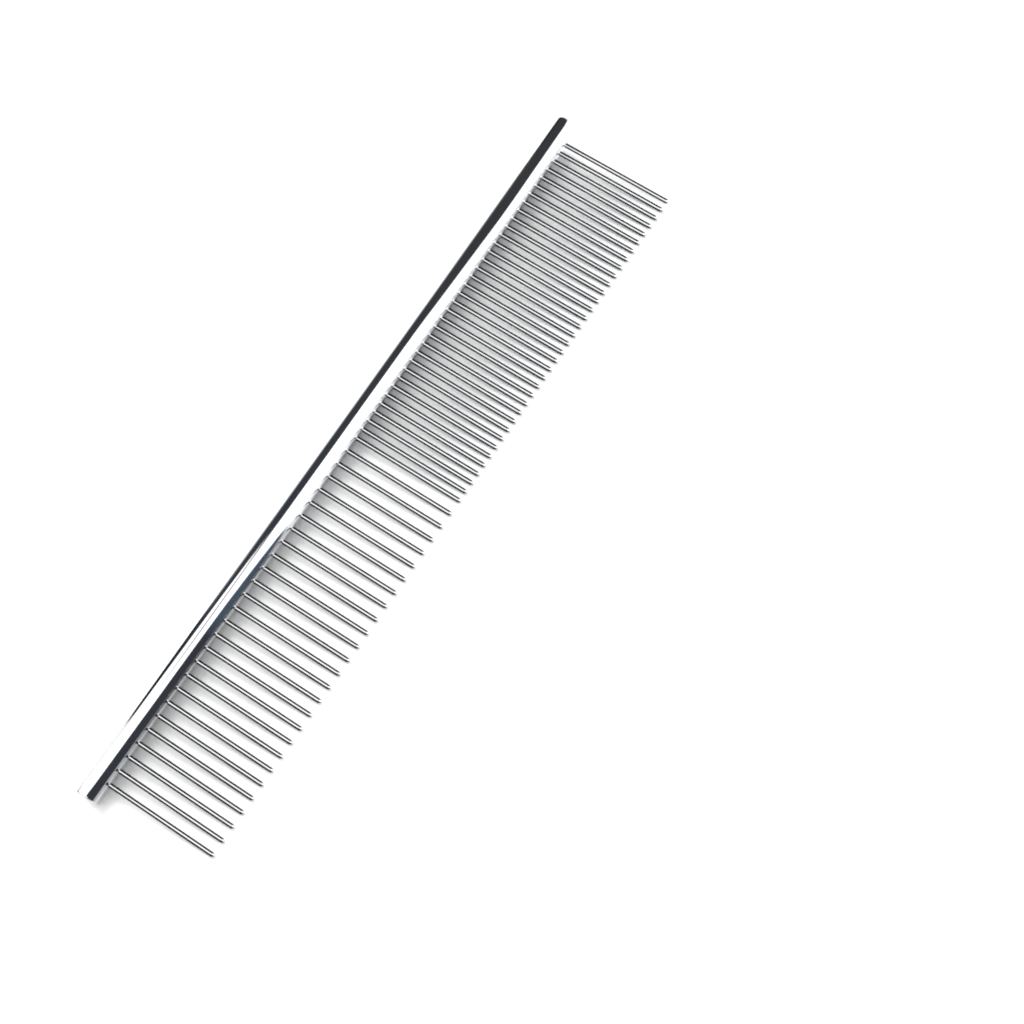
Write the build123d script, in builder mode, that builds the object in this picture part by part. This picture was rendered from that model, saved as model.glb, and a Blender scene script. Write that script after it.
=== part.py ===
"""Steel grooming comb: a round tube spine, plugged at both ends, with one row of wire teeth.

The comb lies as it rests on a table. +X runs along the spine from the wide-set teeth to the
fine-set ones. The teeth point along -Y and slightly down. z = 0 is the table, touched by the
spine and by every tooth tip. The origin is the middle of the footprint. Millimetres.
"""

from build123d import *
import math
import os

# ---- spine and plugs ----------------------------------------------------
SPINE_LENGTH = 190.0
SPINE_R = 2.6
SPINE_WALL = 0.7
SPINE_EDGE_R = 0.3  # rounding of the tube's two outer rims
BORE_R = SPINE_R - SPINE_WALL
PLUG_LENGTH = 3.5
PLUG_CHAMFER = 0.3
BRAZE_GAP = 0.01  # radial film left for the brazing filler at every joint

# ---- one tooth, measured along it from the spine axis -------------------
TOOTH_R = 0.55
TOOTH_REACH = 30.8  # to the end of the tip
TIP_LENGTH = 0.65  # length of the rounded tip
TIP_START = TOOTH_REACH - TIP_LENGTH
SOCKET_DEPTH = 0.35  # how far each root sinks into the tube's far wall
ROOT_BACK = BORE_R + SOCKET_DEPTH  # how far behind the axis the root ends
ROOT_CHAMFER = 0.12
HOLE_START = SPINE_R + 1.0  # drilling starts clear of the tube, on the tip side

# ---- tooth stations along X ---------------------------------------------
FIRST_TOOTH = 5.1  # end of the spine to the first wide-set tooth
WIDE_TEETH = 27
WIDE_PITCH = 3.617
FINE_TEETH = 35
FINE_PITCH = 2.455  # also the step from the last wide-set tooth to the first fine one
FINE_GROUP = 5  # fine teeth kept in one file

FIRST_X = -SPINE_LENGTH / 2 + FIRST_TOOTH
WIDE_X = [FIRST_X + i * WIDE_PITCH for i in range(WIDE_TEETH)]
FINE_X = [WIDE_X[-1] + (i + 1) * FINE_PITCH for i in range(FINE_TEETH)]


# ---- resting pose -------------------------------------------------------
def lean_angle():
    """Angle, in radians, at which the spine and the tooth tips touch one table.

    The elliptical tip's lowest point moves with the angle, so it is found by iteration.
    """
    angle = 0.0
    for _ in range(30):
        tip_drop = math.hypot(TIP_LENGTH * math.sin(angle), TOOTH_R * math.cos(angle))
        angle = math.asin((SPINE_R - tip_drop) / TIP_START)
    return angle


LEAN = lean_angle()
TOOTH_DIR = Vector(0, -math.cos(LEAN), -math.sin(LEAN))
FORWARD_REACH = TIP_START * math.cos(LEAN) + math.hypot(
    TIP_LENGTH * math.cos(LEAN), TOOTH_R * math.sin(LEAN)
)  # spine axis to the foremost point of a tip, along -Y
AXIS_Y = (FORWARD_REACH - SPINE_R) / 2
AXIS_Z = SPINE_R

# The wide-tooth end of the spine, facing along it
END_PLANE = Plane(
    origin=(-SPINE_LENGTH / 2, AXIS_Y, AXIS_Z),
    x_dir=Vector(0, 1, 0),
    z_dir=Vector(1, 0, 0),
)


def tooth_plane(x):
    """At station x on the spine axis: local X runs towards the tooth's tip, local Y across it."""
    return Plane(origin=(x, AXIS_Y, AXIS_Z), x_dir=TOOTH_DIR, z_dir=Vector(1, 0, 0))


def hole_plane(x):
    """On the tip side of the spine, facing the tip, so a Hole cuts back through the tube."""
    return Plane(
        origin=Vector(x, AXIS_Y, AXIS_Z) + TOOTH_DIR * HOLE_START,
        x_dir=Vector(1, 0, 0),
        z_dir=TOOTH_DIR,
    )


# ---- pieces -------------------------------------------------------------
def save(part, label):
    part.label = label
    export_step(part, f"parts/{label}.step")


def make_spine_tube():
    """Tube with a hole for every tooth."""
    with BuildPart() as tube:
        with BuildSketch(END_PLANE):
            Circle(SPINE_R)
            Circle(BORE_R, mode=Mode.SUBTRACT)
        extrude(amount=SPINE_LENGTH)
        rims = (
            tube.edges()
            .filter_by(GeomType.CIRCLE)
            .filter_by(lambda edge: abs(edge.radius - SPINE_R) < 1e-6)
        )
        fillet(rims, radius=SPINE_EDGE_R)
        # each hole pierces the near wall and ends as a shallow socket in the far wall
        with Locations(*[hole_plane(x) for x in WIDE_X + FINE_X]):
            Hole(radius=TOOTH_R + BRAZE_GAP, depth=HOLE_START + ROOT_BACK)
    return tube.part


def make_plug(offset, inner_edge):
    """Plug starting at offset along the spine; inner_edge indexes its chamfered rim along X."""
    with BuildPart() as plug:
        with BuildSketch(END_PLANE.offset(offset)):
            Circle(BORE_R - BRAZE_GAP)
        extrude(amount=PLUG_LENGTH)
        chamfer(plug.edges().sort_by(Axis.X)[inner_edge], length=PLUG_CHAMFER)
    return plug.part


def make_teeth(stations):
    """Wire teeth, each a straight shank with a chamfered root and a rounded tip."""
    with BuildPart() as teeth:
        for x in stations:
            with BuildSketch(tooth_plane(x)):
                with BuildLine():
                    Polyline(
                        (TOOTH_REACH, 0),
                        (-ROOT_BACK, 0),
                        (-ROOT_BACK, TOOTH_R - ROOT_CHAMFER),
                        (-ROOT_BACK + ROOT_CHAMFER, TOOTH_R),
                        (TIP_START, TOOTH_R),
                    )
                    EllipticalCenterArc(
                        center=(TIP_START, 0),
                        x_radius=TIP_LENGTH,
                        y_radius=TOOTH_R,
                        start_angle=0,
                        arc_size=90,
                    )
                make_face()
            revolve(axis=Axis((x, AXIS_Y, AXIS_Z), TOOTH_DIR))
    return teeth.part


os.makedirs("parts", exist_ok=True)

save(make_spine_tube(), "spine_tube")
save(make_plug(offset=0, inner_edge=-1), "wide_end_plug")
save(make_plug(offset=SPINE_LENGTH - PLUG_LENGTH, inner_edge=0), "fine_end_plug")

for number, x in enumerate(WIDE_X, start=1):
    save(make_teeth([x]), f"wide_tooth_{number:02d}")

for first in range(0, FINE_TEETH, FINE_GROUP):
    last = first + FINE_GROUP
    save(make_teeth(FINE_X[first:last]), f"fine_teeth_{first + 1:02d}_to_{last:02d}")
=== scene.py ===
# A metal comb. A hollow tube, its spine, lies along X with a plug in each end, the wide teeth
# at its -X end and the fine teeth at its +X end. The teeth are wires that point towards -Y and
# lean down until their tips touch the table the spine lies on. Shapes are worked out in mm.
import math

import bpy
import numpy as np
from mathutils import Matrix, Vector


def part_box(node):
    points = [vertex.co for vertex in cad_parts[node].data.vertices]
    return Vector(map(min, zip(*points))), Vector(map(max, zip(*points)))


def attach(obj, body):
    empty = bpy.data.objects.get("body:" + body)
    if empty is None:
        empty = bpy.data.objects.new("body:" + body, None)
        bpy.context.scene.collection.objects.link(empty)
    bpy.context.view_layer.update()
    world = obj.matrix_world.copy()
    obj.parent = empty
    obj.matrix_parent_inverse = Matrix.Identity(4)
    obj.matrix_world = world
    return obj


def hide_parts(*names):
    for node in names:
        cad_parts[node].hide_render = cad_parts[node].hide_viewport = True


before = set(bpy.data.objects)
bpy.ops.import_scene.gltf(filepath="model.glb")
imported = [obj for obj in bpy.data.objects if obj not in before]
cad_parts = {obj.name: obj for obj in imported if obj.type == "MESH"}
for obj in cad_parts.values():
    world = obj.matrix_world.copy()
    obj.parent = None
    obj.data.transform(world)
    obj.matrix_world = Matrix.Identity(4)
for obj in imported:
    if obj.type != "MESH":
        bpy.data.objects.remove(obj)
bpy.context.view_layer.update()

scene = bpy.context.scene

MM = 0.001

# ---------------------------------------------------------------- dimensions, mm
tube_lo, tube_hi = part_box("spine_tube")
WIDE_END, FINE_END = tube_lo.x / MM, tube_hi.x / MM
TUBE_R = (tube_hi.z - tube_lo.z) / 2 / MM
AXIS_Y = (tube_hi.y + tube_lo.y) / 2 / MM
AXIS_Z = (tube_hi.z + tube_lo.z) / 2 / MM
AXIS = Vector((0.0, AXIS_Y, AXIS_Z))
RIM = 0.30  # rounding of the tube's ends

plug_lo, plug_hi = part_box("wide_end_plug")
PLUG_R = round((plug_hi.z - plug_lo.z) / 2 / MM, 2)
PLUG_LENGTH = (plug_hi.x - plug_lo.x) / MM
BORE_R = PLUG_R + 0.01
ROOT = BORE_R + 0.35  # from the axis to the bottom of a tooth's socket in the far wall

wide_nodes = sorted(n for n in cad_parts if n.startswith("wide_tooth_"))
fine_nodes = sorted(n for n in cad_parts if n.startswith("fine_teeth_"))
tooth_lo, tooth_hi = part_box(wide_nodes[0])
TOOTH_R = round((tooth_hi.x - tooth_lo.x) / 2 / MM, 2)
HOLE_R = TOOTH_R + 0.01
REACH = 30.8  # from the axis to a tooth's tip
TIP = 0.65  # length of the rounded tip
GROUP_GAPS = 4  # gaps between the five teeth of a fine group


def tooth_lean():
    """Angle below level that brings the tips down to the underside of the spine."""
    angle = 0.0
    for _ in range(30):
        tip_drop = math.hypot(TIP * math.sin(angle), TOOTH_R * math.cos(angle))
        angle = math.asin((TUBE_R - tip_drop) / (REACH - TIP))
    return angle


LEAN = tooth_lean()
TO_TIP = Vector((0.0, -math.cos(LEAN), -math.sin(LEAN)))  # along a tooth
CROSSWISE = Vector((0.0, math.sin(LEAN), -math.cos(LEAN)))  # X cross TO_TIP


def group_places(name):
    """Centres in X of one fine group's teeth."""
    low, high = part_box(name)
    first, last = low.x / MM + TOOTH_R, high.x / MM - TOOTH_R
    return [first + (last - first) * k / GROUP_GAPS for k in range(GROUP_GAPS + 1)]


wide_x = [(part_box(n)[0].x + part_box(n)[1].x) / 2 / MM for n in wide_nodes]
fine_groups = [group_places(n) for n in fine_nodes]
tooth_x = wide_x + [x for group in fine_groups for x in group]


class Shell:
    """Vertices and faces of one piece. Points are given in mm."""

    def __init__(self):
        self.verts, self.faces = [], []

    def add(self, point):
        self.verts.append(point * MM)
        return len(self.verts) - 1

    def quad(self, corners, flip=False):
        self.faces.append(corners[::-1] if flip else corners)

    def band(self, ring, following, flip=False):
        """Quads from one closed ring to the next."""
        for j in range(len(ring)):
            j2 = (j + 1) % len(ring)
            self.quad((ring[j], following[j], following[j2], ring[j2]), flip)

    def turn(self, origin, along, profile, segments):
        """Closed body round an axis. profile is (distance along, radius) from pole to pole."""
        side = Vector((1, 0, 0)) if abs(along.x) < 0.5 else Vector((0, 0, 1))
        other = along.cross(side).normalized()
        rings = []
        for distance, radius in profile:
            if radius < 1e-9:
                rings.append([self.add(origin + along * distance)])
                continue
            ring = []
            for j in range(segments):
                a = 2 * math.pi * j / segments
                ring.append(self.add(
                    origin + along * distance
                    + side * (radius * math.cos(a)) + other * (radius * math.sin(a))))
            rings.append(ring)
        for ring, following in zip(rings, rings[1:]):
            for j in range(segments):
                j2 = (j + 1) % segments
                if len(ring) == 1:
                    self.faces.append((ring[0], following[j2], following[j]))
                elif len(following) == 1:
                    self.faces.append((ring[j], ring[j2], following[0]))
                else:
                    self.faces.append((ring[j], ring[j2], following[j2], following[j]))

    def build(self, name, sharp):
        """Smooth-shaded object, with edges sharper than the given degrees kept crisp."""
        mesh = bpy.data.meshes.new(name)
        mesh.from_pydata([tuple(v) for v in self.verts], [], self.faces)
        mesh.validate()
        mesh.polygons.foreach_set("use_smooth", [True] * len(mesh.polygons))
        mesh.set_sharp_from_angle(angle=math.radians(sharp))
        mesh.update()
        obj = bpy.data.objects.new(name, mesh)
        scene.collection.objects.link(obj)
        return obj


# ---------------------------------------------------------------- spine tube
# phi runs round the tube from TO_TIP. Two strips, on the tooth side and the far side, are cut
# into one cell per tooth, and a round hole replaces each cell's quads.
STRIP_HALF = 26.0  # degrees
STRIP_STEPS = 8
SIDE_STEPS = 24  # between the strips
CELL_STEPS = 4  # along X
LEAD_IN = 2  # stations before the first cell
TOOTH_STRIP, FAR_STRIP = 0, STRIP_STEPS + SIDE_STEPS  # first phi index of each strip

phis = []
for strip_middle in (0, 180):
    phis += [math.radians(strip_middle - STRIP_HALF + 2 * STRIP_HALF * k / STRIP_STEPS)
             for k in range(STRIP_STEPS + 1)]
    phis += [math.radians(strip_middle + STRIP_HALF + (180 - 2 * STRIP_HALF) * k / SIDE_STEPS)
             for k in range(1, SIDE_STEPS)]
AROUND = len(phis)

# Steps (along X, round the tube) once round a cell's edge, from its +X, low phi corner.
CELL_EDGE = (
    [(CELL_STEPS, j) for j in range(STRIP_STEPS)]
    + [(CELL_STEPS - j, STRIP_STEPS) for j in range(CELL_STEPS)]
    + [(0, STRIP_STEPS - j) for j in range(STRIP_STEPS)]
    + [(j, 0) for j in range(CELL_STEPS)]
)
hole_angles = [math.radians(-60 + 15 * j) for j in range(len(CELL_EDGE))]

# Rings round a hole: (radius in hole radii, height above the wall).
# Outside, a low collar of brazing filler stands round each tooth.
OUTER_LIPS = [(1.55, 0.0), (1.28, 0.0), (1.12, 0.010), (1.0, 0.030)]
INNER_LIPS = [(1.55, 0.0), (1.15, 0.0), (1.0, 0.0)]


def tube_stations():
    """(x, in a cell, step in the cell) along the straight part of the tube."""
    middles = [(a + b) / 2 for a, b in zip(tooth_x, tooth_x[1:])]
    start = tooth_x[0] - (tooth_x[1] - tooth_x[0]) / 2
    end = tooth_x[-1] + (tooth_x[-1] - tooth_x[-2]) / 2
    edges = [start] + middles + [end]
    body_start, body_end = WIDE_END + RIM, FINE_END - RIM
    found = [(body_start, False, 0), ((body_start + start) / 2, False, 0)]
    for left, right in zip(edges, edges[1:]):
        found += [(left + (right - left) * s / CELL_STEPS, True, s) for s in range(CELL_STEPS)]
    return found + [(end, False, 0), ((body_end + end) / 2, False, 0), (body_end, False, 0)]


stations = tube_stations()


def tube_point(x, phi, radius):
    spoke = TO_TIP * math.cos(phi) + CROSSWISE * math.sin(phi)
    return Vector((x, 0, 0)) + AXIS + spoke * radius


def on_circle(circle_radius, angle, wall_radius):
    """Offsets (x, phi) of a point on a circle wrapped onto the wall."""
    rise = min(0.98, circle_radius * math.sin(angle) / wall_radius)
    return circle_radius * math.cos(angle), math.asin(rise)


def hole(shell, grid, strip, cell, radius, lips, flip):
    """Fill a cell with rings that go from its edge to the round hole. Returns the last ring."""
    x = tooth_x[cell]
    first_row = LEAD_IN + CELL_STEPS * cell
    middle = phis[strip + STRIP_STEPS // 2]
    previous = [grid[first_row + k][strip + j] for k, j in CELL_EDGE]
    edge = [(stations[first_row + k][0] - x, phis[strip + j] - middle) for k, j in CELL_EDGE]
    for share in (0.35, 0.7):  # of the way from the edge to the widest circle
        ring = []
        for (edge_x, edge_phi), angle in zip(edge, hole_angles):
            circle_x, circle_phi = on_circle(HOLE_R * lips[0][0], angle, radius)
            ring.append(shell.add(tube_point(
                x + edge_x + (circle_x - edge_x) * share,
                middle + edge_phi + (circle_phi - edge_phi) * share, radius)))
        shell.band(previous, ring, flip)
        previous = ring
    for size, lift in lips:
        ring = []
        for angle in hole_angles:
            circle_x, circle_phi = on_circle(HOLE_R * size, angle, radius)
            ring.append(shell.add(tube_point(x + circle_x, middle + circle_phi, radius + lift)))
        shell.band(previous, ring, flip)
        previous = ring
    return previous


def tube_wall(shell, radius, strips, lips, flip=False):
    """One wall of the tube. Returns its grid and the hole rings of each strip."""
    grid = []
    for x, in_cell, step in stations:
        row = {}
        for j in range(AROUND):
            if not (in_cell and step > 0 and any(s < j < s + STRIP_STEPS for s in strips)):
                row[j] = shell.add(tube_point(x, phis[j], radius))
        grid.append(row)
    for k in range(len(stations) - 1):
        for j in range(AROUND):
            if stations[k][1] and any(s <= j < s + STRIP_STEPS for s in strips):
                continue
            j2 = (j + 1) % AROUND
            shell.quad((grid[k][j], grid[k + 1][j], grid[k + 1][j2], grid[k][j2]), flip)
    rings = {}
    for strip in strips:
        rings[strip] = [hole(shell, grid, strip, cell, radius, lips, flip)
                        for cell in range(len(tooth_x))]
    return grid, rings


def socket(shell, x, mouth):
    """Blind hole in the far wall that holds a tooth's root."""
    ring = []
    for angle in hole_angles:
        foot = Vector((x + HOLE_R * math.cos(angle), 0, 0)) + AXIS
        ring.append(shell.add(foot - TO_TIP * ROOT - CROSSWISE * (HOLE_R * math.sin(angle))))
    middle = shell.add(Vector((x, 0, 0)) + AXIS - TO_TIP * ROOT)
    for j in range(len(ring)):
        j2 = (j + 1) % len(ring)
        shell.faces.append((ring[j], mouth[j], mouth[j2], ring[j2]))
        shell.faces.append((middle, ring[j], ring[j2]))


def tube_rim(shell, end, outward, outer_row, inner_row):
    """End of the tube: a quarter round outside and a small break at the bore."""
    profile = []  # (x, radius)
    for s in range(1, 9):
        a = math.radians(90 * s / 8)
        x = end - outward * (RIM - RIM * math.sin(a))
        profile.append((x, TUBE_R - RIM + RIM * math.cos(a)))
    profile += [(end, BORE_R + 0.05), (end - outward * 0.02, BORE_R + 0.015),
                (end - outward * 0.06, BORE_R)]
    previous = [outer_row[j] for j in range(AROUND)]
    for x, radius in profile:
        ring = [shell.add(tube_point(x, phi, radius)) for phi in phis]
        shell.band(previous, ring, flip=outward < 0)
        previous = ring
    shell.band(previous, [inner_row[j] for j in range(AROUND)], flip=outward < 0)


def spine_tube():
    shell = Shell()
    outer, outer_rings = tube_wall(shell, TUBE_R, [TOOTH_STRIP], OUTER_LIPS)
    inner, inner_rings = tube_wall(shell, BORE_R, [TOOTH_STRIP, FAR_STRIP], INNER_LIPS, flip=True)
    for outside, inside in zip(outer_rings[TOOTH_STRIP], inner_rings[TOOTH_STRIP]):
        shell.band(outside, inside)
    for x, mouth in zip(tooth_x, inner_rings[FAR_STRIP]):
        socket(shell, x, mouth)
    tube_rim(shell, WIDE_END, -1, outer[0], inner[0])
    tube_rim(shell, FINE_END, 1, outer[-1], inner[-1])
    return shell.build("polished_spine", sharp=40.0)


# ---------------------------------------------------------------- end plugs
# (depth from the outer face, radius): a centre dimple, a broken edge, a chamfered inner end.
PLUG_PROFILE = [
    (0.02, 0.0), (0.015, 0.10), (0.0, 0.22), (0.0, 0.9), (0.0, 1.6),
    (0.0, PLUG_R - 0.10), (0.012, PLUG_R - 0.045), (0.04, PLUG_R - 0.015), (0.08, PLUG_R),
    (PLUG_LENGTH - 0.3, PLUG_R), (PLUG_LENGTH, PLUG_R - 0.3), (PLUG_LENGTH, 0.8),
    (PLUG_LENGTH, 0.0),
]


def plug(name, end, inward):
    shell = Shell()
    shell.turn(Vector((end, AXIS_Y, AXIS_Z)), Vector((inward, 0, 0)), PLUG_PROFILE, segments=64)
    return shell.build(name, sharp=35.0)


# ---------------------------------------------------------------- teeth
TIP_STEPS = 8
# (distance from the spine's axis, radius): chamfered root, straight wire, rounded tip.
TOOTH_PROFILE = (
    [(-ROOT, 0.0), (-ROOT, TOOTH_R - 0.12), (-ROOT + 0.12, TOOTH_R)]
    + [(d, TOOTH_R) for d in (0.0, TUBE_R - 0.2, TUBE_R + 0.4, 6.0, 12.0, 18.0, 24.0,
                              REACH - TIP - 0.8)]
    + [(REACH - TIP + TIP * math.sin(a), TOOTH_R * math.cos(a))
       for a in (math.radians(90 * s / TIP_STEPS) for s in range(TIP_STEPS))]
    + [(REACH, 0.0)]
)


def register(obj, node):
    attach(obj, "root")
    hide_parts(node)


def teeth(name, places, node):
    shell = Shell()
    for x in places:
        shell.turn(Vector((x, AXIS_Y, AXIS_Z)), TO_TIP, TOOTH_PROFILE, segments=24)
    obj = shell.build(name, sharp=40.0)
    register(obj, node)
    return obj


spine = spine_tube()
wide_cap = plug("wide_end_cap", WIDE_END, inward=1.0)
fine_cap = plug("fine_end_cap", FINE_END, inward=-1.0)
wires = [teeth("wide_wire_" + n[-2:], [x], n) for n, x in zip(wide_nodes, wide_x)]
wires += [teeth("fine_wires_" + n[len("fine_teeth_"):], group, n)
          for n, group in zip(fine_nodes, fine_groups)]
register(spine, "spine_tube")
register(wide_cap, "wide_end_plug")
register(fine_cap, "fine_end_plug")

# ---------------------------------------------------------------- materials
# Texture scales are per metre and bump heights in metres.


class Shader:
    """Short names for building the node tree of a material or world."""

    def __init__(self, block, empty=False):
        self.block = block
        block.use_nodes = True
        self.tree = block.node_tree
        if empty:
            self.tree.nodes.clear()
        else:
            self.bsdf = self.tree.nodes["Principled BSDF"]

    def add(self, kind, **settings):
        node = self.tree.nodes.new("ShaderNode" + kind)
        for key, value in settings.items():
            setattr(node, key, value)
        return node

    def link(self, output, socket):
        self.tree.links.new(output, socket)

    def put(self, socket, value):
        """Link an output or set a plain value."""
        if hasattr(value, "is_output"):
            self.link(value, socket)
        else:
            socket.default_value = value

    def set(self, name, value):
        self.put(self.bsdf.inputs[name], value)

    def source(self, kind, output):
        return self.add(kind).outputs[output]

    def split(self, vector):
        node = self.add("SeparateXYZ")
        self.link(vector(), node.inputs[0])
        return node.outputs

    def coords(self, scale):
        place = self.source("TexCoord", "Object")
        mapping = self.add("Mapping")
        mapping.inputs["Scale"].default_value = scale
        self.link(place, mapping.inputs["Vector"])
        return mapping.outputs["Vector"]

    def noise(self, scale, detail=3.0):
        node = self.add("TexNoise")
        self.link(self.coords(scale), node.inputs["Vector"])
        node.inputs["Scale"].default_value = 1.0
        node.inputs["Detail"].default_value = detail
        node.inputs["Roughness"].default_value = 0.55
        return node.outputs["Fac"]

    def math(self, op, a, b=0.0, c=0.5, clamp=False):
        node = self.add("Math", operation=op, use_clamp=clamp)
        for socket, value in zip(node.inputs, (a, b, c)):
            self.put(socket, value)
        return node.outputs[0]

    def times(self, a, b):
        return self.math("MULTIPLY", a, b)

    def plus(self, a, b):
        return self.math("ADD", a, b)

    def minus(self, a, b):
        return self.math("SUBTRACT", a, b)

    def larger(self, a, b):
        return self.math("MAXIMUM", a, b)

    def relief(self, height, scale, detail=2.0):
        return self.times(self.noise(scale, detail), height)

    def ramp(self, value, span, to=(0.0, 1.0), smooth=True):
        """Map the span of values onto the two ends of to."""
        node = self.add("MapRange")
        if smooth:
            node.interpolation_type = "SMOOTHSTEP"
        self.put(node.inputs["Value"], value)
        for key, number in zip(("From Min", "From Max", "To Min", "To Max"), (*span, *to)):
            node.inputs[key].default_value = number
        return node.outputs["Result"]

    def mix(self, share, first, second):
        node = self.add("Mix", data_type="RGBA")
        for place, value in ((0, share), (6, first), (7, second)):
            self.put(node.inputs[place], value)
        return node.outputs[2]

    def blend(self, share, first, second):
        """Mix two shaders."""
        node = self.add("MixShader")
        for socket, output in zip(node.inputs, (share, first, second)):
            self.link(output, socket)
        return node.outputs[0]

    def glow(self, kind="Emission", strength=1.0, colour=(1, 1, 1, 1)):
        node = self.add(kind)
        self.put(node.inputs["Color"], colour)
        self.put(node.inputs["Strength"], strength)
        return node.outputs[0]

    def specks(self, spacing, size, keep):
        """1 in small round specks, 0 elsewhere. Spacing is in mm, size in spacings."""
        cells = self.add("TexVoronoi", feature="F1")
        scale = 1.0 / (spacing * MM)
        self.link(self.coords((scale, scale, scale)), cells.inputs["Vector"])
        cells.inputs["Scale"].default_value = 1.0
        spot = self.ramp(cells.outputs["Distance"], span=(size * 0.5, size), to=(1.0, 0.0))
        pick = self.add("SeparateColor")
        self.link(cells.outputs["Color"], pick.inputs[0])
        return self.times(spot, self.math("LESS_THAN", pick.outputs[0], keep))

    def vector(self, op, a, b=None):
        node = self.add("VectorMath", operation=op)
        self.put(node.inputs[0], a)
        if b is not None:
            self.put(node.inputs[1], b)
        return node.outputs["Value" if op in ("DOT_PRODUCT", "LENGTH") else 0]

    def bump(self, *heights):
        total = heights[0]
        for height in heights[1:]:
            total = self.plus(total, height)
        node = self.add("Bump")
        node.inputs["Strength"].default_value = 1.0
        node.inputs["Distance"].default_value = 1.0
        self.link(total, node.inputs["Height"])
        self.set("Normal", node.outputs["Normal"])


def metal(name):
    m = Shader(bpy.data.materials.new(name))
    m.set("Metallic", 1.0)
    return m


def chrome_spine():
    m = metal("spine_chrome_plate")
    wave = m.relief(height=9e-6, scale=(70, 260, 260))
    ripple = m.relief(height=1.6e-6, scale=(420, 900, 900))
    lines = m.relief(height=1.3e-7, scale=(120, 14000, 14000))
    pits = m.specks(spacing=2.6, size=0.04, keep=0.30)
    pit_depth, pit_roughness, pit_shade = -6e-6, 0.35, 0.6
    m.bump(wave, ripple, lines, m.times(pits, pit_depth))
    base_roughness = 0.035
    haze = m.ramp(m.noise(scale=(160, 700, 700), detail=4.0), span=(0.45, 0.75), to=(0.0, 0.045))
    m.set("Roughness", m.plus(m.plus(base_roughness, haze), m.times(pits, pit_roughness)))
    tone = m.ramp(m.noise(scale=(45, 90, 90)), span=(0.35, 0.7))
    colour = m.mix(tone, first=(0.655, 0.665, 0.685, 1), second=(0.70, 0.71, 0.725, 1))
    m.set("Base Color", m.mix(m.times(pits, pit_shade), colour, second=(0.45, 0.46, 0.48, 1)))
    return m.block


def chrome_plug():
    m = metal("plug_chrome_plate")
    # turned rings on the faced end, by distance from the axis
    from_axis = m.vector("SUBTRACT", m.source("TexCoord", "Object"), (0, AXIS_Y * MM, AXIS_Z * MM))
    radius = m.vector("LENGTH", m.vector("MULTIPLY", from_axis, (0, 1, 1)))
    ring_pitch, ring_height = 0.00011, 2.2e-7
    rings = m.math("SINE", m.times(radius, 2 * math.pi / ring_pitch))
    wobble = m.relief(height=1.5e-6, scale=(900, 900, 900), detail=3.0)
    m.bump(m.times(rings, ring_height), wobble)
    smears = m.noise(scale=(1500, 1500, 1500), detail=4.0)
    m.set("Roughness", m.ramp(smears, span=(0.3, 0.75), to=(0.09, 0.2)))
    tone = m.noise(scale=(600, 600, 600))
    m.set("Base Color", m.mix(tone, first=(0.74, 0.75, 0.77, 1), second=(0.83, 0.84, 0.855, 1)))
    return m.block


def turned_away(m):
    """How far a tooth's surface turns from the viewer, seen across the wire: 0 on the facing
    line, 1 at the outlines. Also how far it faces the tip's end."""
    geometry = m.add("NewGeometry").outputs
    across = m.vector("NORMALIZE", m.vector("CROSS_PRODUCT", geometry["Incoming"], TO_TIP))
    aside = m.vector("DOT_PRODUCT", geometry["Normal"], across)
    end_on = m.larger(m.vector("DOT_PRODUCT", geometry["Normal"], TO_TIP), 0.0)
    tip_shift = 0.30  # moves the facing line sideways on the tip
    aside = m.minus(aside, m.times(end_on, tip_shift))
    facing = m.larger(m.minus(1.0, m.times(aside, aside)), 0.0)
    return m.math("SUBTRACT", 1.0, m.math("SQRT", facing), clamp=True), end_on


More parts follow.
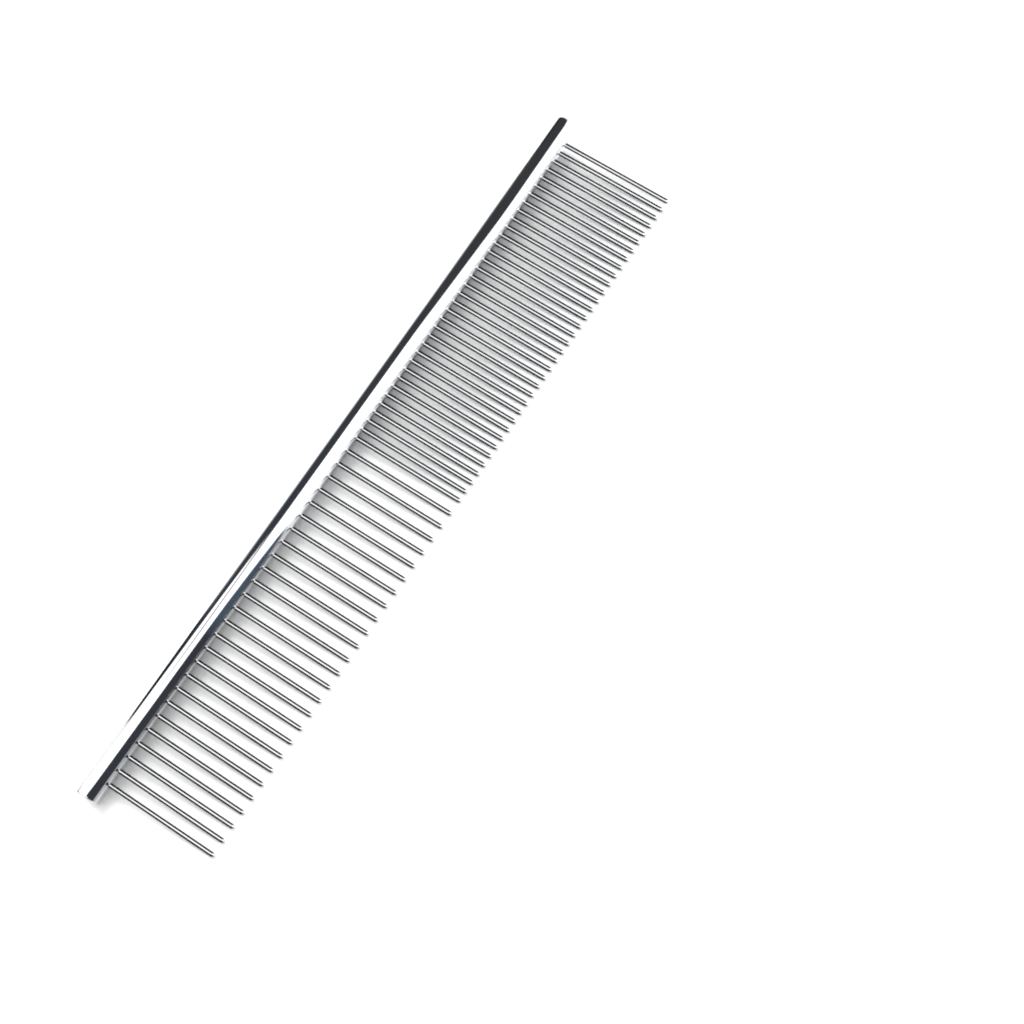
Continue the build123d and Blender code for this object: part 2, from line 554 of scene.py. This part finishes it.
def steel_wire():
    m = metal("tooth_bright_steel")
    wave = m.relief(height=2.0e-6, scale=(500, 160, 500))
    drawn = m.relief(height=1.6e-7, scale=(16000, 260, 16000))
    pits = m.specks(spacing=2.3, size=0.04, keep=0.12)
    pit_depth, pit_roughness = -1e-6, 0.3
    m.bump(wave, drawn, m.times(pits, pit_depth))
    smears = m.noise(scale=(900, 300, 900), detail=4.0)
    roughness = m.ramp(smears, span=(0.35, 0.75), to=(0.05, 0.11))
    m.set("Roughness", m.plus(roughness, m.times(pits, pit_roughness)))
    tone = m.ramp(m.noise(scale=(210, 60, 210)), span=(0.35, 0.7))
    colour = m.mix(tone, first=(0.53, 0.534, 0.542, 1), second=(0.58, 0.583, 0.59, 1))

    # painted sheen: seen from low down the wire's colour is painted a plain bright steel, and in
    # reflections it is painted brighter still
    ray = m.add("LightPath").outputs
    direct, glossy = ray["Is Camera Ray"], ray["Is Glossy Ray"]
    height = m.split(lambda: m.source("NewGeometry", "Incoming"))[2]
    above = m.ramp(height, span=(0.55, 0.87))
    above = m.larger(above, m.minus(1.0, direct))
    colour = m.mix(above, first=(0.80, 0.81, 0.83, 1), second=colour)
    colour = m.mix(glossy, colour, second=(0.86, 0.865, 0.875, 1))

    # painted shade: dark flanks painted into the base colour, standing in for the dark room that
    # thin wire in a white tent mirrors at its sides;
    # the painted flanks are weaker in reflections and from low down
    away, end_on = turned_away(m)
    painted_flank_shade = m.times(m.ramp(away, span=(0.006, 0.050)),
                    m.math("MULTIPLY_ADD", glossy, b=-0.85, c=1.0))
    painted_flank_shade = m.times(painted_flank_shade, m.math("MULTIPLY_ADD", above, b=0.75, c=0.25))
    m.set("Base Color", m.mix(painted_flank_shade, colour, second=(0.010, 0.011, 0.014, 1)))
    # painted shade at the outlines: for the camera from above the edge tint is near black
    painted_edge_tint = m.mix(m.times(direct, above), first=(1, 1, 1, 1), second=(0.05, 0.05, 0.06, 1))
    m.set("Specular Tint", painted_edge_tint)

    # painted glint: the rounded end glows white between the flanks, only for a camera within
    # glint_range
    glint_range = 0.9
    glint = m.times(m.ramp(end_on, span=(0.15, 0.45), to=(0.0, 0.9)),
                    m.ramp(away, span=(0.02, 0.09), to=(1.0, 0.0)))
    m.set("Emission Color", (1, 1, 1, 1))
    seen = m.times(direct, m.math("LESS_THAN", ray["Ray Length"], glint_range))
    m.set("Emission Strength", m.times(glint, seen))
    m.block.cycles.emission_sampling = "NONE"
    return m.block


spine_mat, plug_mat, wire_mat = chrome_spine(), chrome_plug(), steel_wire()
for obj, material in [(spine, spine_mat), (wide_cap, plug_mat), (fine_cap, plug_mat)]:
    obj.data.materials.append(material)
for wire in wires:
    wire.data.materials.append(wire_mat)
for name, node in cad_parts.items():
    node.data.materials.clear()
    node.data.materials.append(
        spine_mat if name == "spine_tube" else plug_mat if "plug" in name else wire_mat
    )

# ---------------------------------------------------------------- floor
FLOOR_HALF, FLOOR_Z = 4.0, -0.00002  # metres

# Painted reflections: black and white flags along the spine, painted as glow that the floor shows
# only to mirrored rays: (x in mm, brightness).
PAINTED_FLAGS = [
    (-100, 0.55), (-96, 0.75), (-93, 1.5), (-78, 1.5), (-74, 0.08), (-50, 0.08), (-44, 0.6),
    (-34, 1.1), (-20, 1.5), (10, 1.6), (40, 1.5), (62, 1.0), (78, 0.4), (90, 0.09),
]
FLAG_END = 100  # the flags' chart runs from -FLAG_END to FLAG_END
FLAG_PEAK = 1.6
# Mirrored rays move towards the fine end and spread, both per mm from the spine.
RAY_LEAN, RAY_SPREAD = 0.199, 0.0019


def painted_flag_level(m, from_x):
    node = m.add("ValToRGB")
    m.link(m.ramp(from_x, span=(-FLAG_END, FLAG_END), smooth=False), node.inputs[0])
    stops = node.color_ramp.elements
    while len(stops) > 1:
        stops.remove(stops[-1])
    for n, (x, level) in enumerate(PAINTED_FLAGS):
        # the ramp's own first stop already stands at 0
        stop = stops[0] if n == 0 else stops.new((x + FLAG_END) / (2 * FLAG_END))
        stop.color = (level / FLAG_PEAK, level / FLAG_PEAK, level / FLAG_PEAK, 1)
    return m.times(node.outputs["Color"], FLAG_PEAK)


def glow_behind(m, ahead, from_x):
    """Painted reflection of the flags on the +Y side, which fade with distance, with painted shade
    that darkens them at the spine's foot.
    """
    level = painted_flag_level(m, from_x)
    fade_start, fade_length = 4.5, 9.0  # mm
    behind = m.larger(m.times(m.plus(ahead, fade_start), -1.0), 0.0)
    near = m.math("DIVIDE", 1.0, m.plus(1.0, m.math("DIVIDE", behind, fade_length)))
    near = m.larger(near, m.ramp(from_x, span=(-78.0, -74.0), to=(1.0, 0.0)))
    # painted shade: the mirrored flags go dark along the spine's foot
    foot = m.larger(m.ramp(m.times(ahead, -1.0), span=(6.2, 8.4), to=(0.08, 1.0)),
                    m.ramp(from_x, span=(-74.0, -70.0)))
    return m.times(m.times(level, near), foot)


def glow_ahead(m, ahead, from_x):
    """Painted reflection of the -Y side, with a painted white glow under the teeth's tips for
    short rays.
    """
    front = m.plus(m.ramp(from_x, span=(-34.0, -16.0), to=(0.13, 1.5)),
                   m.ramp(from_x, span=(-92.0, -66.0), to=(0.5, 0.0)))
    reach = m.times(m.source("LightPath", "Ray Length"), 1000.0)
    # painted glow: short rays that reach the paper under the tips see it glow white
    tips = m.times(m.ramp(reach, span=(12.0, 22.0), to=(1.4, 0.0)),
                   m.ramp(ahead, span=(24.0, 27.0)))
    return m.larger(front, tips)


def floor_paper():
    """White paper. To polished metal it glows as painted reflections, falling off to black and
    white flags.
    """
    m = Shader(bpy.data.materials.new("studio_floor_paper"))
    m.set("Base Color", (0.86, 0.86, 0.86, 1))
    m.set("Roughness", 0.9)
    m.set("Specular IOR Level", 0.0)

    # places in mm; from_x is where a mirrored ray left the spine
    place = m.split(lambda: m.source("NewGeometry", "Position"))
    x = m.times(place[0], 1000.0)
    ahead = m.minus(AXIS_Y, m.times(place[1], 1000.0))
    off = m.math("ABSOLUTE", ahead)
    from_x = m.math("DIVIDE", m.minus(x, m.times(off, RAY_LEAN)),
                    m.math("MULTIPLY_ADD", off, RAY_SPREAD, c=1.0))

    back = glow_behind(m, ahead, from_x)
    front = glow_ahead(m, ahead, from_x)
    is_back = m.ramp(ahead, span=(-2.0, 2.0), to=(1.0, 0.0))
    strength = m.plus(m.times(back, is_back), m.times(front, m.minus(1.0, is_back)))

    # plain paper right beside the comb, on the tooth side; mirrors see it with painted shade,
    # darker towards the fine end
    far = m.larger(m.ramp(ahead, span=(4.5, 11.0)), m.ramp(x, span=(84.0, 89.0)))
    far = m.larger(far, is_back)
    shade = m.mix(m.ramp(x, span=(-20.0, 0.0)),
                  first=(0.86, 0.86, 0.86, 1), second=(0.56, 0.56, 0.56, 1))
    paper = m.add("BsdfDiffuse")
    m.link(shade, paper.inputs["Color"])
    mirrored = m.blend(far, paper.outputs[0],
                       m.glow(strength=strength, colour=(0.99, 1.0, 1.0, 1)))

    # painted light: past both ends of the row the paper glows white to the camera, washing out its
    # shadows there
    painted_wash = m.larger(m.ramp(x, span=(88.0, 91.0), to=(0.0, 0.85)),
                    m.ramp(x, span=(-99.0, -94.5), to=(0.5, 0.0)))
    painted_wash_for_camera = m.times(painted_wash, m.source("LightPath", "Is Camera Ray"))
    direct = m.blend(painted_wash_for_camera, m.bsdf.outputs[0], m.glow(strength=1.2))
    surface = m.blend(m.source("LightPath", "Is Glossy Ray"), direct, mirrored)
    m.link(surface, m.tree.nodes["Material Output"].inputs["Surface"])
    m.block.cycles.emission_sampling = "NONE"
    return m.block


def studio_floor():
    mesh = bpy.data.meshes.new("studio_floor")
    corners = [(x * FLOOR_HALF, y * FLOOR_HALF, FLOOR_Z)
               for x, y in ((-1, -1), (1, -1), (1, 1), (-1, 1))]
    mesh.from_pydata(corners, [], [(0, 1, 2, 3)])
    obj = bpy.data.objects.new("studio_floor", mesh)
    scene.collection.objects.link(obj)
    mesh.materials.append(floor_paper())


studio_floor()

# ---------------------------------------------------------------- light tent
# A near dome that only mirrors see. The table outlines its white cloth as (u, tilt): u is -1
# at the wide end's side and +1 at the fine end's, tilt is degrees from overhead, + towards the
# tooth side.
CLOTH = [
    (-0.98, -100), (-0.42, -100), (-0.33, -88.5), (-0.25, -86), (-0.20, -81), (-0.16, -75),
    (-0.12, -68), (-0.07, -60), (-0.03, -53), (0.0, -46), (0.025, -39), (0.048, -29),
    (0.06, -21), (0.09, -16), (0.2, -14), (0.33, -14), (0.365, -11), (0.39, -4), (0.42, 2),
    (0.45, 7), (0.48, 13), (0.51, 18), (0.54, 17), (0.565, 12), (0.60, 6), (0.64, 1),
    (0.67, -3), (0.72, -14), (0.80, -34), (0.98, -50), (0.98, 100), (0.09, 100), (0.095, 75),
    (0.085, 62), (0.06, 52), (0.03, 42), (0.0, 34), (-0.03, 27), (-0.1, 20), (-0.2, 13),
    (-0.28, 7), (-0.31, 2), (-0.40, 4), (-0.45, 12), (-0.52, 20), (-0.62, 24), (-0.98, 24),
]
DOME_R = 0.300  # metres
DOME_COLUMNS, DOME_ROWS = 360, 300
CLOTH_BLUR = 0.012  # softness of the cloth's edge, in u
CLOTH_WHITE = np.array([2.25, 2.26, 2.28])
DARK_WIDE = np.array([0.050, 0.055, 0.066])
DARK_FINE = np.array([0.054, 0.057, 0.061])
DARK_BLUE = np.array([0.085, 0.115, 0.165])  # a patch near the middle, on the tooth side


def signed_distance(px, py, outline):
    """Distance to a closed outline, positive inside."""
    best = np.full(px.shape, 1e9)
    inside = np.zeros(px.shape, bool)
    for (ax, ay), (bx, by) in zip(outline, outline[1:] + outline[:1]):
        ex, ey = bx - ax, by - ay
        s = np.clip(((px - ax) * ex + (py - ay) * ey) / (ex * ex + ey * ey), 0, 1)
        best = np.minimum(best, np.hypot(px - ax - s * ex, py - ay - s * ey))
        inside ^= ((ay > py) != (by > py)) & (px < (bx - ax) * (py - ay) / (by - ay + 1e-12) + ax)
    return np.where(inside, best, -best)


def rise(values, start, end):
    """0 at the start, 1 at the end."""
    return np.clip((values - start) / (end - start), 0, 1)


def fade(first, second, share):
    return first * (1 - share[:, None]) + second * share[:, None]


def tent_colours(u, tilt):
    edge = signed_distance(u, tilt / 100, [(a, b / 100) for a, b in CLOTH])
    white = 0.5 + 0.5 * np.clip(edge / CLOTH_BLUR, -1, 1)
    dark = fade(DARK_WIDE, DARK_FINE, rise(u, 0.1, 0.4))
    blue = rise(u, -0.075, -0.045) * rise(u, 0.12, 0.10) * rise(tilt, 10, 20)
    dark = fade(dark, DARK_BLUE, blue)
    # a dark seam along the cloth at tilt -23, bent back towards the wide end
    seam_off = tilt + 23 + 40 * np.clip(-0.05 - u, 0, 1)
    seam = np.clip(1.3 * np.exp(-((seam_off / 5.4) ** 2)), 0, 1)
    seam = seam * rise(u, 0.09, 0.05) * rise(u, -0.30, -0.08)
    rgb = fade(dark, CLOTH_WHITE * (1 - 0.97 * seam[:, None]), white)
    return np.concatenate([rgb, np.ones((len(rgb), 1))], 1).astype(np.float32)


def light_tent():
    u, tilt = np.meshgrid(np.linspace(-0.9999, 0.9999, DOME_COLUMNS),
                          np.linspace(-96, 96, DOME_ROWS), indexing="ij")
    u, tilt = u.ravel(), tilt.ravel()
    width = np.sqrt(1 - u * u)
    turn = np.radians(tilt)
    points = np.stack([u, -np.sin(turn) * width, np.cos(turn) * width], -1) * DOME_R
    corners = [i * DOME_ROWS + j for i in range(DOME_COLUMNS - 1) for j in range(DOME_ROWS - 1)]
    mesh = bpy.data.meshes.new("light_tent")
    mesh.from_pydata(points.tolist(), [],
                     [(a, a + 1, a + DOME_ROWS + 1, a + DOME_ROWS) for a in corners])
    cloth = mesh.color_attributes.new("cloth", "FLOAT_COLOR", "POINT")
    cloth.data.foreach_set("color", tent_colours(u, tilt).ravel())
    obj = bpy.data.objects.new("light_tent", mesh)
    scene.collection.objects.link(obj)
    m = Shader(bpy.data.materials.new("light_tent_cloth"), empty=True)
    colour = m.add("Attribute", attribute_name="cloth").outputs["Color"]
    m.link(m.glow(colour=colour), m.add("OutputMaterial").inputs["Surface"])
    m.block.cycles.emission_sampling = "NONE"
    mesh.materials.append(m.block)
    for ray in ("camera", "diffuse", "transmission", "volume_scatter", "shadow"):
        setattr(obj, "visible_" + ray, False)


light_tent()


# ---------------------------------------------------------------- world, lamp and camera
def studio_world():
    """White to the camera. Other rays see a room that is brighter behind the comb."""
    m = Shader(bpy.data.worlds.new("studio"), empty=True)
    scene.world = m.block
    brightness = 1.22
    side = m.vector("DOT_PRODUCT", m.source("TexCoord", "Generated"), (0.10, 0.50, 0.0))
    strength = m.math("MULTIPLY_ADD", side, b=brightness, c=brightness)
    room = m.glow("Background", strength=strength, colour=(0.997, 0.999, 1.0, 1))
    backdrop = m.glow("Background", strength=1.1)
    surface = m.blend(m.source("LightPath", "Is Camera Ray"), room, backdrop)
    m.link(surface, m.add("OutputWorld").inputs["Surface"])


def key_softbox():
    """Square lamp above and behind the comb, aimed at the origin."""
    lamp = bpy.data.lights.new("key_softbox", "AREA")
    lamp.shape = "SQUARE"
    lamp.size = 0.60
    lamp.energy = 9.6
    obj = bpy.data.objects.new("key_softbox", lamp)
    scene.collection.objects.link(obj)
    direction = Vector((0.36, 0.78, 0.78)).normalized()
    distance = 0.9
    obj.location = direction * distance
    obj.rotation_mode = "QUATERNION"
    obj.rotation_quaternion = (-direction).to_track_quat("-Z", "Y")
    obj.visible_glossy = False
    obj.visible_camera = False


def camera():
    data = bpy.data.cameras.new("camera")
    data.sensor_width = 36.0
    data.lens = 78.408984
    data.clip_start = 0.01
    data.clip_end = 20.0
    obj = bpy.data.objects.new("camera", data)
    scene.collection.objects.link(obj)
    place = Vector((-0.1004866, -0.1774034, 0.45768072))
    right = Vector((0.55252, -0.82209, -0.13743))
    up = Vector((0.80393, 0.48210, 0.34825))
    back = right.cross(up).normalized()
    up = back.cross(right).normalized()
    right.normalize()
    rows = [(right[k], up[k], back[k], place[k]) for k in range(3)]
    obj.matrix_world = Matrix((*rows, (0, 0, 0, 1)))
    scene.camera = obj


studio_world()
key_softbox()
camera()

scene.view_settings.view_transform = "Standard"
scene.view_settings.look = "None"
scene.view_settings.exposure = 0.0
scene.view_settings.gamma = 1.0
scene.cycles.use_denoising = True
scene.cycles.max_bounces = 10
scene.cycles.glossy_bounces = 8
scene.cycles.filter_width = 2.0
